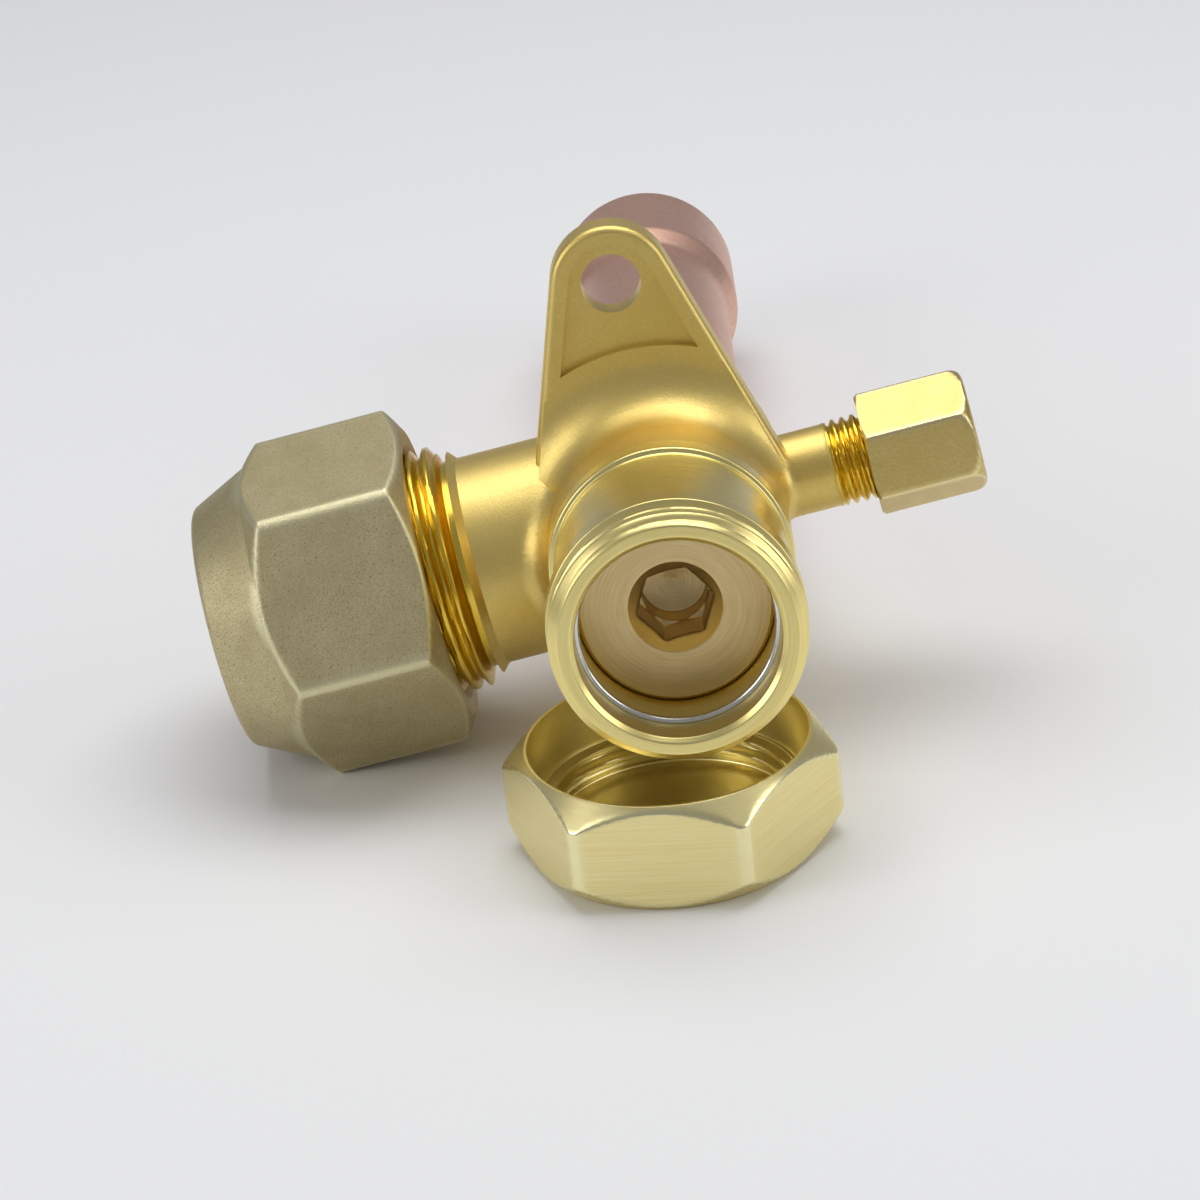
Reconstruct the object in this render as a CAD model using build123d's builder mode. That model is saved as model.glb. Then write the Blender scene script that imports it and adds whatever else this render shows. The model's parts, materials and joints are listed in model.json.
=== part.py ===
"""Refrigerant service valve for a 7/8 in line: forged brass body, screwed stem, flare nut and charging port.

The stem cap is off and lies open side up; the valve rests on the cap's rear rim, the flare nut's lower
corner and the end of its copper tube. Millimetres, +Z up, origin at the middle of the cap's closed face.
"""

import os
from math import asin, atan2, cos, degrees, hypot, pi, radians, sin, sqrt, tan

from build123d import *

os.makedirs("parts", exist_ok=True)

# ---------------------------------------------------------------- fits
running = 0.06  # radial clearance of a piece that turns or slides in another
seat_gap = 0.05  # gap between faces that seat on each other
rest_gap = 0.03  # gap where the valve lies on its cap
hex_chamfer_angle = 30.0  # of the nut's and the charging cap's turned ends, degrees
overcut = 1.0  # how far a cut runs past the face that it opens
# thread form, as shares of the pitch
thread_depth = 0.54
thread_crest = 0.2
thread_flank = 0.36
thread_root = 0.08

# ---------------------------------------------------------------- forged body, along the stem axis
face_to_ports = 49.0  # front face of the neck to the flare port's axis
barrel_d = 30.2
band_step = 0.7  # plain band behind the neck thread, below the barrel
band_end = 27.5  # behind the front face
neck_thread_d = 31.0
neck_pitch = 2.0
neck_thread_end = 9.3  # behind the front face
neck_chamfer = 1.3
mouth_d = 24.3
mouth_chamfer = 0.5
barrel_margin = 0.2  # past the flare port's fillet
rear_step = 1.9  # braze socket below the barrel
rear_taper = 3.0
rear_length = 12.5  # braze socket behind the barrel

# ---------------------------------------------------------------- stem and what holds it
stem_bore_d = 23.8
end_room = 0.5  # room past the longest stroke
stem_thread_d = 21.8
stem_thread_length = 17.5
head_depth = 12.2  # front of the stem behind the neck's face
head_length = 9.0
head_chamfer = 0.5
hex_key = 8.2  # across flats of the socket
hex_depth = 6.5
pilot_d = 8.0
pilot_depth = 10.0
drill_point = 59.0  # half angle of the pilot drill's point, degrees
hex_turn = 0.8  # degrees
sink_d = 11.4  # countersink round the socket
ring_wire_d = 1.1
ring_d = 24.1  # middle of the wire
ring_depth = 5.8
ring_split = 24.0  # degrees
o_ring_section = 1.9
o_ring_squeeze = 0.1
o_ring_front = 2.9  # first ring's middle behind the stem's front
o_ring_pitch = 3.1
shank_d = 11.0
nose_d = 19.0
nose_land = 2.6
nose_back = 3.0
nose_tip_d = 13.6
seat_chamfer = 0.5
seat_d = 17.2
chamber_d = 22.6
chamber_front = 35.5  # behind the front face
chamber_end = 60.0  # behind the front face, where the valve seat starts
close_travel = 3.0  # stem's travel from here to its seat

# ---------------------------------------------------------------- copper tube
tube_d = 22.2
tube_wall = 1.5
tube_in_body = 11.0
swage_start = 140.0  # behind the front face
swage_taper = 3.5
tube_end = 164.0  # behind the front face
swage_clearance = 0.1
braze_size = 1.3

# ---------------------------------------------------------------- flare port, from the stem axis
flare_bore_d = 18.6
flare_neck_d = 26.6
flare_thread_d = 31.3
flare_pitch = 25.4 / 12
flare_collar = 24.0
flare_thread_start = 26.2
flare_thread_end = 43.6
flare_tip = 48.3
flare_tip_d = 20.4
flare_fillet = 4.0

# ---------------------------------------------------------------- flare nut, from the stem axis
nut_flats = 37.7
nut_open = 29.9
nut_corner_end = 48.2  # where the hexagon's corners end
nut_cone_d = 38.0
nut_cone_start = 50.4
nut_nose_d = 30.8
nut_end = 57.9
nut_corner_r = 1.4
nut_nose_r = 1.2
nut_turn = 18.6  # degrees
nut_tube_gap = 0.2
nut_face_d = 37.2  # plain face inside the open end's chamfer
nut_mouth_chamfer = 0.8
bonnet_wall = 1.0
bonnet_rim_d = 25.8

# ---------------------------------------------------------------- charging port, from the stem axis
charge_back = 2.0  # how far its axis lies behind the flare port's
charge_barrel_d = 10.6
charge_thread_d = 11.1
charge_pitch = 25.4 / 20
charge_thread_start = 22.2
charge_thread_end = 35.3
charge_tip = 37.4
charge_tip_d = 6.8
charge_mouth_d = 5.4
charge_bore_d = 4.4
charge_passage_d = 3.0
charge_step = 28.6
charge_bore_end = 17.2
charge_fillet = 2.0

# ---------------------------------------------------------------- charging cap
charge_cap_flats = 14.1
charge_cap_open = 26.2
charge_cap_face_d = 15.0
charge_cap_end = 40.0
charge_cap_turn = -2.0  # degrees
charge_cap_dome_r = 4.2
cap_seal_thickness = 1.1

# ---------------------------------------------------------------- valve core in the charging port
core_plug_length = 5.0
core_plug_start = 30.6
core_pin_d = 1.1
core_pin_end = 36.5
core_barrel_d = 3.9
core_barrel_start = 21.2
core_floor = 2.1
core_groove_d = 3.0
core_groove_start = 0.4  # behind the barrel's inner end
core_groove_length = 1.3
core_hole_d = 1.5
core_plug_hole_d = 1.9
core_plug_flats = 2.6
core_plug_flat_length = 2.0
core_spring_room_d = 2.9
core_collar_d = 2.4
core_collar_start = 27.6
core_collar_length = 0.8
core_cup_d = 3.7
core_cup_length = 1.3
core_pin_stake = 0.2  # how far the pin's inner end stands out of the cup
core_seal_length = 0.5
core_wire_d = 0.28
core_spring_turns = 5.5

# ---------------------------------------------------------------- mounting ear
ear_hole_d = 7.4
ear_hole_up = 31.9  # from the stem axis
ear_hole_side = 1.1  # towards the charging port
ear_tip_r = 7.5
ear_root_flare = 2.0  # past the barrel, where the outline's sides meet it
ear_front_depth = 42.8  # front face of the ear behind the neck's face
ear_thickness = 5.3
ear_edge = 0.9
ear_rim = 2.2
ear_pocket = 1.3
ear_pocket_root = 8.5  # from the barrel
ear_web_top = 7.3  # from the barrel
ear_web_sweep = 6.5  # how far the web reaches forward along the barrel

# ---------------------------------------------------------------- stem cap
cap_flats = 36.0
cap_height = 14.0
cap_corner_r = 1.8
cap_chamfer_angle = 45.0  # degrees
cap_face_d = 34.4
cap_top_d = 34.9
cap_mouth_d = 34.1
cap_cone_d = 31.9
cap_cone_depth = 7.0
cap_floor = 2.6
cap_threads = 2
cap_turn = -7.0  # degrees

# ---------------------------------------------------------------- how the valve lies
rest_from_face = 32.5  # where the barrel meets the cap's rim, behind the front face
valve_side = 2.6  # stem axis to the cap's middle


def lean_angle():
    """Tilt of the stem axis: the barrel lies on the cap's rim, the swaged end of the tube on the floor."""
    along = tube_end - rest_from_face
    across = swage_d / 2 - barrel_r
    return asin((cap_height + rest_gap) / hypot(along, across)) - atan2(across, along)


def roll_angle(height, lean):
    """Turn about the stem axis that brings the flare nut's lower corner down to the floor."""
    reach = (nut_flats / 2 - nut_corner_r) / cos(pi / 6)
    down = reach * cos(radians(nut_turn))
    lift = height + reach * sin(radians(nut_turn)) * sin(lean) - nut_corner_r - rest_gap
    return asin(lift / cos(lean) / hypot(nut_corner_end, down)) - atan2(down, nut_corner_end)


barrel_r = barrel_d / 2
band_r = barrel_r - band_step
rear_r = barrel_r - rear_step
barrel_end = face_to_ports + flare_neck_d / 2 + flare_fillet + barrel_margin
swage_bore_d = tube_d + 2 * swage_clearance
swage_d = swage_bore_d + 2 * tube_wall
lean = lean_angle()
face_height = cap_height + rest_gap + rest_from_face * sin(lean) + barrel_r * cos(lean)
ports_height = face_height - face_to_ports * sin(lean)
roll = roll_angle(ports_height, lean)

front = Vector(0, -cos(lean), sin(lean))
upright = Vector(0, sin(lean), cos(lean))
charge_way = Vector(cos(roll), 0, 0) + upright * sin(roll)
ear_way = Vector(-sin(roll), 0, 0) + upright * cos(roll)
flare_way = charge_way * -1
rim_y = cap_top_d / 2
face_y = rim_y - rest_from_face * cos(lean) + barrel_r * sin(lean)
centre = Vector(valve_side, face_y, face_height) - front * face_to_ports
charge_centre = centre - front * charge_back

stem_axis = Axis(centre, front)
flare_axis = Axis(centre, flare_way)
charge_axis = Axis(charge_centre, charge_way)
# section planes: in the first, x is a radius and y runs along the stem to the front;
# in the other two, x runs along the port and y is a radius
stem_section = Plane(origin=centre, x_dir=charge_way, z_dir=ear_way * -1)
flare_section = Plane(origin=centre, x_dir=flare_way, z_dir=ear_way)
charge_section = Plane(origin=charge_centre, x_dir=charge_way, z_dir=ear_way * -1)
# cross planes at the ports' axis
stem_cross = Plane(origin=centre, x_dir=charge_way, z_dir=front)
flare_cross = Plane(origin=centre, x_dir=ear_way, z_dir=flare_way)
charge_cross = Plane(origin=charge_centre, x_dir=ear_way, z_dir=charge_way)


def at(depth):
    """Place along the stem axis of a depth behind the neck's front face."""
    return face_to_ports - depth


def thread_ridges(start, length, crest, root, pitch):
    """Crests and roots of a thread as (place, radius) points along its axis; crest and root are radii."""
    count = int(length / pitch)
    points = []
    for turn in range(count):
        first = start + turn * pitch
        points.append((first, crest))
        points.append((first + pitch * thread_crest, crest))
        points.append((first + pitch * (thread_crest + thread_flank), root))
        points.append((first + pitch * (thread_crest + thread_flank + thread_root), root))
    points.append((start + count * pitch, crest))
    return points


def outside_thread(start, end, major_d, pitch):
    """Ridges of an outside thread of this major diameter between two places."""
    return thread_ridges(start, end - start, major_d / 2, major_d / 2 - thread_depth * pitch, pitch)


# ================================================================ forged body

ear_front = at(ear_front_depth)
ear_back = ear_front - ear_thickness
ear_reach = hypot(ear_hole_up, ear_hole_side)
ear_root_r = barrel_r + ear_root_flare
ear_taper = asin((ear_root_r - ear_tip_r) / ear_reach)
ear_slant = atan2(ear_hole_side, ear_hole_up)


def ear_outline(inset):
    """Drop-shaped outline of the ear: circles at its root and tip and their common tangents."""
    left = pi - ear_slant - ear_taper
    right = ear_taper - ear_slant
    root = ear_root_r - inset
    low_left = (root * cos(left), root * sin(left))
    low_right = (root * cos(right), root * sin(right))
    with BuildLine() as outline:
        sweep_angle = degrees(left - right)
        tip = CenterArc((ear_hole_side, ear_hole_up), ear_tip_r - inset, degrees(right), sweep_angle)
        Polyline(tip @ 1, low_left, low_right, tip @ 0)
    return outline.line


with BuildPart() as ear:
    with BuildSketch(stem_cross.offset(ear_back)):
        add(ear_outline(0))
        make_face()
    extrude(amount=ear_thickness)
    ear_rims = ear.edges().filter_by(lambda e: abs((e.center() - centre).dot(ear_way)) > barrel_r / 2)
    fillet(ear_rims.filter_by(lambda e: abs(e.tangent_at(0.5).dot(front)) < 0.01), ear_edge)
    # the sunk face inside a raised rim, closed below by a rim that follows the barrel
    with BuildSketch(stem_cross.offset(ear_front)):
        add(ear_outline(ear_rim))
        make_face()
        Circle(barrel_r + ear_pocket_root, mode=Mode.SUBTRACT)
    extrude(amount=-ear_pocket, mode=Mode.SUBTRACT)
    with Locations(stem_cross.offset(ear_front).location * Pos(ear_hole_side, ear_hole_up, 0)):
        Hole(ear_hole_d / 2)

# the web: the ear's outline swept smoothly down to the barrel, ahead of the ear's face
with BuildPart() as ear_web:
    with BuildSketch(stem_cross.offset(ear_front)):
        add(ear_outline(ear_edge / 2))
        make_face()
    extrude(amount=ear_web_sweep)
    with BuildSketch(stem_section):
        with BuildLine():
            web_foot_r = barrel_r - rest_gap
            web_top_r = barrel_r + ear_web_top
            web_end = ear_front + ear_web_sweep
            Polyline((web_top_r, ear_front), (0, ear_front), (0, web_end), (web_foot_r, web_end))
            EllipticalCenterArc((web_top_r, web_end), web_top_r - web_foot_r, ear_web_sweep,
                                start_angle=180, arc_size=90)
        make_face()
    revolve(axis=stem_axis, mode=Mode.INTERSECT)

rear_end = barrel_end + rear_taper + rear_length
socket_start = rear_end - tube_in_body
stem_bore_end = head_depth + close_travel + head_length + end_room
groove_half = ring_wire_d / 2 + seat_gap
groove_r = ring_d / 2 + groove_half
thread_bore_r = stem_thread_d / 2 + running
socket_r = tube_d / 2 + seat_gap
flare_cone = flare_tip + flare_tip_d / 2  # place plus radius is the same all along a 45 degree cone
flare_cone_r = flare_neck_d / 2
charge_cone = charge_tip + charge_tip_d / 2
charge_cone_r = charge_thread_d / 2 - charge_pitch / 2

with BuildPart() as valve_body:
    with BuildSketch(stem_section):
        with BuildLine():
            Polyline((0, at(band_end)), (barrel_r, at(band_end)), (barrel_r, at(barrel_end)),
                     (rear_r, at(barrel_end + rear_taper)), (rear_r, at(rear_end)), (0, at(rear_end)),
                     close=True)
        make_face()
    revolve(axis=stem_axis)
    with BuildSketch(flare_cross):
        Circle(flare_neck_d / 2)
    extrude(amount=flare_collar)
    fillet(valve_body.edges(Select.LAST).filter_by(GeomType.CIRCLE, reverse=True), flare_fillet)
    with BuildSketch(charge_cross):
        Circle(charge_barrel_d / 2)
    extrude(amount=charge_thread_start)
    joint_edges = valve_body.edges(Select.LAST).filter_by(GeomType.CIRCLE, reverse=True)
    fillet(joint_edges.filter_by(lambda e: (e.center() - centre).dot(charge_way) > 0), charge_fillet)
    add(ear.part)
    add(ear_web.part)
    # neck: plain band, then the stem cap's thread
    with BuildSketch(stem_section):
        with BuildLine():
            neck_ridges = outside_thread(neck_chamfer, neck_thread_end, neck_thread_d, neck_pitch)
            neck_face_r = neck_thread_d / 2 - neck_chamfer
            band_front = neck_ridges[-1][0] + neck_thread_d / 2 - band_r
            band_back = at(band_end) - ear_edge
            Polyline((0, band_back), (band_r, band_back), (band_r, at(band_front)),
                     *[(r, at(d)) for d, r in reversed(neck_ridges)],
                     (neck_face_r, at(0)), (0, at(0)), close=True)
        make_face()
    revolve(axis=stem_axis)
    # flare port: collar, thread and 45 degree cone
    with BuildSketch(flare_section):
        with BuildLine():
            flare_ridges = outside_thread(flare_thread_start, flare_thread_end, flare_thread_d, flare_pitch)
            flare_relief = flare_ridges[-1][0] + flare_thread_d / 2 - flare_cone_r
            Polyline((flare_collar - overcut, 0), (flare_collar - overcut, flare_neck_d / 2),
                     (flare_collar, flare_neck_d / 2),
                     *flare_ridges, (flare_relief, flare_cone_r), (flare_cone - flare_cone_r, flare_cone_r),
                     (flare_tip, flare_tip_d / 2), (flare_tip, 0), close=True)
        make_face()
    revolve(axis=flare_axis)
    # charging port: thread and 45 degree cone
    with BuildSketch(charge_section):
        with BuildLine():
            charge_ridges = outside_thread(charge_thread_start, charge_thread_end, charge_thread_d,
                                           charge_pitch)
            charge_root = charge_thread_start - overcut
            Polyline((charge_root, 0), (charge_root, charge_barrel_d / 2),
                     *charge_ridges, (charge_cone - charge_cone_r, charge_cone_r),
                     (charge_tip, charge_tip_d / 2), (charge_tip, 0), close=True)
        make_face()
    revolve(axis=charge_axis)
    # stepped bore: mouth, ring groove, stem bore, thread, chamber, valve seat, tube socket
    with BuildSketch(stem_section):
        with BuildLine():
            mouth_r = mouth_d / 2 + mouth_chamfer
            Polyline((0, at(-overcut)), (mouth_r, at(-overcut)), (mouth_r, at(0)),
                     (mouth_d / 2, at(mouth_chamfer)), (mouth_d / 2, at(ring_depth - groove_half)),
                     (groove_r, at(ring_depth - groove_half)), (groove_r, at(ring_depth + groove_half)),
                     (stem_bore_d / 2, at(ring_depth + groove_half)), (stem_bore_d / 2, at(stem_bore_end)),
                     (thread_bore_r, at(stem_bore_end + stem_bore_d / 2 - thread_bore_r)),
                     (thread_bore_r, at(chamber_front)), (chamber_d / 2, at(chamber_front)),
                     (chamber_d / 2, at(chamber_end)), (seat_d / 2 + seat_chamfer, at(chamber_end)),
                     (seat_d / 2, at(chamber_end + seat_chamfer)), (seat_d / 2, at(socket_start)),
                     (socket_r, at(socket_start)), (socket_r, at(rear_end + overcut)),
                     (0, at(rear_end + overcut)), close=True)
        make_face()
    revolve(axis=stem_axis, mode=Mode.SUBTRACT)
    with BuildSketch(flare_cross):
        Circle(flare_bore_d / 2)
    extrude(amount=flare_tip + overcut, mode=Mode.SUBTRACT)
    with BuildSketch(charge_section):
        with BuildLine():
            step = (charge_mouth_d - charge_bore_d) / 2
            Polyline((chamber_d / 4, 0), (chamber_d / 4, charge_passage_d / 2),
                     (charge_bore_end, charge_passage_d / 2), (charge_bore_end, charge_bore_d / 2),
                     (charge_step, charge_bore_d / 2), (charge_step + step, charge_mouth_d / 2),
                     (charge_tip + overcut, charge_mouth_d / 2), (charge_tip + overcut, 0), close=True)
        make_face()
    revolve(axis=charge_axis, mode=Mode.SUBTRACT)

valve_body.part.label = "valve_body"
export_step(valve_body.part, "parts/valve_body.step")


# ================================================================ stem and its seals

head_r = stem_bore_d / 2 - running
head_back = head_depth + head_length
thread_back = head_back + stem_thread_length
o_ring_floor = o_ring_section - o_ring_squeeze
o_ring_depths = [head_depth + o_ring_front, head_depth + o_ring_front + o_ring_pitch]
o_ring_half = o_ring_section / 2 + 2 * seat_gap
# nose and seat are the same 45 degree cone, apart by the stem's travel and the seat gap
nose_cone = chamber_end + seat_d / 2 + seat_chamfer - close_travel - seat_gap * sqrt(2)
nose_start = nose_cone - nose_d / 2
nose_end = nose_cone - nose_tip_d / 2
shank_end = nose_start - nose_land - nose_back

with BuildPart() as valve_stem:
    with BuildSketch(stem_section):
        with BuildLine():
            grooves = []
            for depth in o_ring_depths:
                grooves.append((head_r, at(depth - o_ring_half)))
                grooves.append((head_r - o_ring_floor, at(depth - o_ring_half)))
                grooves.append((head_r - o_ring_floor, at(depth + o_ring_half)))
                grooves.append((head_r, at(depth + o_ring_half)))
            Polyline((0, at(head_depth)), (head_r - head_chamfer, at(head_depth)),
                     (head_r, at(head_depth + head_chamfer)), *grooves, (head_r, at(head_back)),
                     (stem_thread_d / 2, at(head_back)), (stem_thread_d / 2, at(thread_back - head_chamfer)),
                     (stem_thread_d / 2 - head_chamfer, at(thread_back)), (shank_d / 2, at(thread_back)),
                     (shank_d / 2, at(shank_end)), (nose_d / 2, at(nose_start - nose_land)),
                     (nose_d / 2, at(nose_start)), (nose_tip_d / 2, at(nose_end)), (0, at(nose_end)),
                     close=True)
        make_face()
    revolve(axis=stem_axis)
    # hexagon socket over its drilled pilot, with a countersunk mouth
    with BuildSketch(stem_cross.offset(at(head_depth))):
        RegularPolygon(hex_key / 2, 6, major_radius=False, rotation=hex_turn)
    extrude(amount=-hex_depth, mode=Mode.SUBTRACT)
    with BuildSketch(stem_section):
        with BuildLine():
            pilot_end = head_depth + pilot_depth
            Polyline((0, at(head_depth)), (sink_d / 2, at(head_depth)),
                     (pilot_d / 2, at(head_depth + (sink_d - pilot_d) / 2)), (pilot_d / 2, at(pilot_end)),
                     (0, at(pilot_end + pilot_d / 2 / tan(radians(drill_point)))), close=True)
        make_face()
    revolve(axis=stem_axis, mode=Mode.SUBTRACT)

valve_stem.part.label = "valve_stem"
export_step(valve_stem.part, "parts/valve_stem.step")

o_ring_r = head_r - o_ring_floor / 2 + running / 2
o_ring_names = ["stem_o_ring_front", "stem_o_ring_rear"]
for name, depth in zip(o_ring_names, o_ring_depths):
    with BuildPart() as o_ring:
        with BuildSketch(stem_section):
            with Locations((o_ring_r, at(depth))):
                Circle(o_ring_floor / 2)
        revolve(axis=stem_axis)
    o_ring.part.label = name
    export_step(o_ring.part, "parts/" + name + ".step")

# wire ring in the neck's groove, split on the ear's side
split_turn = radians(90 + ring_split / 2)
ring_start = charge_way * cos(split_turn) + ear_way * sin(split_turn)
ring_section = Plane(origin=centre, x_dir=ring_start, z_dir=ring_start.cross(front))

with BuildPart() as retaining_ring:
    with BuildSketch(ring_section):
        with Locations((ring_d / 2, at(ring_depth))):
            Circle(ring_wire_d / 2)
    revolve(axis=stem_axis, revolution_arc=360 - ring_split)

retaining_ring.part.label = "retaining_ring"
export_step(retaining_ring.part, "parts/retaining_ring.step")

# ================================================================ copper tube

swage_end = swage_start + swage_taper

with BuildPart() as copper_tube:
    with BuildSketch(stem_section):
        with BuildLine():
            tube_front = socket_start + seat_gap
            Polyline((tube_d / 2 - tube_wall, at(tube_front)), (tube_d / 2, at(tube_front)),
                     (tube_d / 2, at(swage_start)), (swage_d / 2, at(swage_end)),
                     (swage_d / 2, at(tube_end)), (swage_bore_d / 2, at(tube_end)),
                     (swage_bore_d / 2, at(swage_end)), (tube_d / 2 - tube_wall, at(swage_start)),
                     close=True)
        make_face()
    revolve(axis=stem_axis)
    swage_rims = copper_tube.edges().filter_by(GeomType.CIRCLE)
    swage_rims = swage_rims.filter_by(lambda e: abs(e.radius - swage_d / 2) < rest_gap)
    fillet(swage_rims.sort_by(stem_axis)[-1], swage_taper / 2)

copper_tube.part.label = "copper_tube"
export_step(copper_tube.part, "parts/copper_tube.step")

with BuildPart() as braze_ring:
    with BuildSketch(stem_section):
        with BuildLine():
            braze_r = tube_d / 2 + seat_gap / 2
            braze_front = at(rear_end) - seat_gap / 2
            hollow = CenterArc((braze_r + braze_size, braze_front - braze_size), braze_size, 90, 90)
            Polyline(hollow @ 0, (braze_r, braze_front), hollow @ 1)
        make_face()
    revolve(axis=stem_axis)

braze_ring.part.label = "braze_ring"
export_step(braze_ring.part, "parts/braze_ring.step")

# ================================================================ flare nut and its bonnet

bonnet_inner = flare_cone + seat_gap * sqrt(2)
bonnet_outer = bonnet_inner + bonnet_wall * sqrt(2)
bonnet_front = flare_tip + seat_gap
bonnet_offset = bonnet_wall / sqrt(2)
nut_cone = bonnet_outer + seat_gap * sqrt(2)
nut_bore_r = flare_thread_d / 2 + running
nut_tube_r = tube_d / 2 + nut_tube_gap
nut_corner = nut_flats / 2 / cos(pi / 6)
nut_open_chamfer = (nut_corner - nut_face_d / 2) * tan(radians(hex_chamfer_angle))
nut_mouth_r = nut_bore_r + nut_mouth_chamfer

with BuildPart() as flare_nut:
    with BuildSketch(flare_cross.offset(nut_open)) as nut_hexagon:
        RegularPolygon(nut_flats / 2, 6, major_radius=False, rotation=nut_turn)
        fillet(nut_hexagon.vertices(), nut_corner_r)
    extrude(amount=nut_end - nut_open)
    # turned ends: chamfered open end, sloping shoulder and conical nose
    with BuildSketch(flare_section):
        with BuildLine():
            Polyline((nut_open, 0), (nut_open, nut_face_d / 2), (nut_open + nut_open_chamfer, nut_corner),
                     (nut_corner_end, nut_corner), (nut_cone_start, nut_cone_d / 2),
                     (nut_end, nut_nose_d / 2), (nut_end, 0), close=True)
        make_face()
    revolve(axis=flare_axis, mode=Mode.INTERSECT)
    nut_rims = flare_nut.edges().filter_by(GeomType.CIRCLE)
    fillet(nut_rims.filter_by(lambda e: abs(e.radius - nut_nose_d / 2) < seat_gap), nut_nose_r)
    # thread bore, 45 degree seat and tube bore
    with BuildSketch(flare_section):
        with BuildLine():
            Polyline((nut_open - overcut, 0), (nut_open - overcut, nut_mouth_r), (nut_open, nut_mouth_r),
                     (nut_open + nut_mouth_chamfer, nut_bore_r), (nut_cone - nut_bore_r, nut_bore_r),
                     (nut_cone - nut_tube_r, nut_tube_r), (nut_end + overcut, nut_tube_r),
                     (nut_end + overcut, 0), close=True)
        make_face()
    revolve(axis=flare_axis, mode=Mode.SUBTRACT)

flare_nut.part.label = "flare_nut"
export_step(flare_nut.part, "parts/flare_nut.step")

with BuildPart() as flare_bonnet:
    with BuildSketch(flare_section):
        with BuildLine():
            rim_r = bonnet_rim_d / 2
            rim = bonnet_inner - rim_r
            bonnet_back = bonnet_front + bonnet_wall
            Polyline((bonnet_front, 0), (bonnet_front, bonnet_inner - bonnet_front), (rim, rim_r),
                     (rim + bonnet_offset, rim_r + bonnet_offset), (bonnet_back, bonnet_outer - bonnet_back),
                     (bonnet_back, 0), close=True)
        make_face()
    revolve(axis=flare_axis)

flare_bonnet.part.label = "flare_bonnet"
export_step(flare_bonnet.part, "parts/flare_bonnet.step")

# ================================================================ charging cap and its seal

seal_front = charge_tip + seat_gap
charge_cap_floor = seal_front + cap_seal_thickness + seat_gap
charge_cap_bore_r = charge_thread_d / 2 + running
charge_cap_corner = charge_cap_flats / 2 / cos(pi / 6)
charge_cap_chamfer = (charge_cap_corner - charge_cap_face_d / 2) * tan(radians(hex_chamfer_angle))

with BuildPart() as charge_cap:
    with BuildSketch(charge_cross.offset(charge_cap_open)):
        RegularPolygon(charge_cap_flats / 2, 6, major_radius=False, rotation=charge_cap_turn)
    extrude(amount=charge_cap_end - charge_cap_open)
    # turned ends: chamfered open end and domed closed end
    with BuildSketch(charge_section):
        with BuildLine():
            dome = CenterArc((charge_cap_end - charge_cap_dome_r, charge_cap_corner - charge_cap_dome_r),
                             charge_cap_dome_r, 0, 90)
            Polyline(dome @ 0, (charge_cap_end, 0), (charge_cap_open, 0),
                     (charge_cap_open, charge_cap_face_d / 2),
                     (charge_cap_open + charge_cap_chamfer, charge_cap_corner), dome @ 1)
        make_face()
    revolve(axis=charge_axis, mode=Mode.INTERSECT)
    with BuildSketch(charge_section):
        with BuildLine():
            Polyline((charge_cap_open - overcut, 0), (charge_cap_open - overcut, charge_cap_bore_r),
                     (charge_cap_floor, charge_cap_bore_r), (charge_cap_floor, 0), close=True)
        make_face()
    revolve(axis=charge_axis, mode=Mode.SUBTRACT)

charge_cap.part.label = "charge_cap"
export_step(charge_cap.part, "parts/charge_cap.step")

with BuildPart() as charge_cap_seal:
    with BuildSketch(charge_cross.offset(seal_front)):
        Circle(charge_cap_bore_r - seat_gap)
    extrude(amount=cap_seal_thickness)

charge_cap_seal.part.label = "charge_cap_seal"
export_step(charge_cap_seal.part, "parts/charge_cap_seal.step")

# ================================================================ valve core

with BuildPart() as core_plug:
    with BuildSketch(charge_cross.offset(core_plug_start)):
        Circle(charge_mouth_d / 2 - seat_gap)
        Circle(core_plug_hole_d / 2, mode=Mode.SUBTRACT)
    extrude(amount=core_plug_length)
    # two flats for the core tool
    with BuildSketch(charge_cross.offset(core_plug_start + core_plug_length)):
        Circle(charge_mouth_d / 2)
        Rectangle(core_plug_flats, charge_mouth_d, mode=Mode.SUBTRACT)
    extrude(amount=-core_plug_flat_length, mode=Mode.SUBTRACT)

core_plug.part.label = "core_plug"
export_step(core_plug.part, "parts/core_plug.step")

core_barrel_end = core_plug_start - 2 * seat_gap
core_floor_end = core_barrel_start + core_floor
core_gasket_start = core_barrel_start + core_groove_start

with BuildPart() as core_barrel:
    with BuildSketch(charge_cross.offset(core_barrel_start)):
        Circle(core_barrel_d / 2)
        Circle(core_hole_d / 2, mode=Mode.SUBTRACT)
    extrude(amount=core_barrel_end - core_barrel_start)
    with BuildSketch(charge_cross.offset(core_floor_end)):
        Circle(core_spring_room_d / 2)
    extrude(amount=core_barrel_end - core_floor_end, mode=Mode.SUBTRACT)
    with BuildSketch(charge_cross.offset(core_gasket_start)):
        Circle(core_barrel_d / 2)
        Circle(core_groove_d / 2, mode=Mode.SUBTRACT)
    extrude(amount=core_groove_length, mode=Mode.SUBTRACT)

core_barrel.part.label = "core_barrel"
export_step(core_barrel.part, "parts/core_barrel.step")

with BuildPart() as core_gasket:
    with BuildSketch(charge_cross.offset(core_gasket_start + seat_gap)):
        Circle(charge_bore_d / 2 - seat_gap)
        Circle(core_groove_d / 2 + seat_gap, mode=Mode.SUBTRACT)
    extrude(amount=core_groove_length - 2 * seat_gap)

core_gasket.part.label = "core_gasket"
export_step(core_gasket.part, "parts/core_gasket.step")

core_seal_start = core_barrel_start - seat_gap - core_seal_length
core_cup_start = core_seal_start - seat_gap - core_cup_length
core_pin_start = core_cup_start - core_pin_stake

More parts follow.
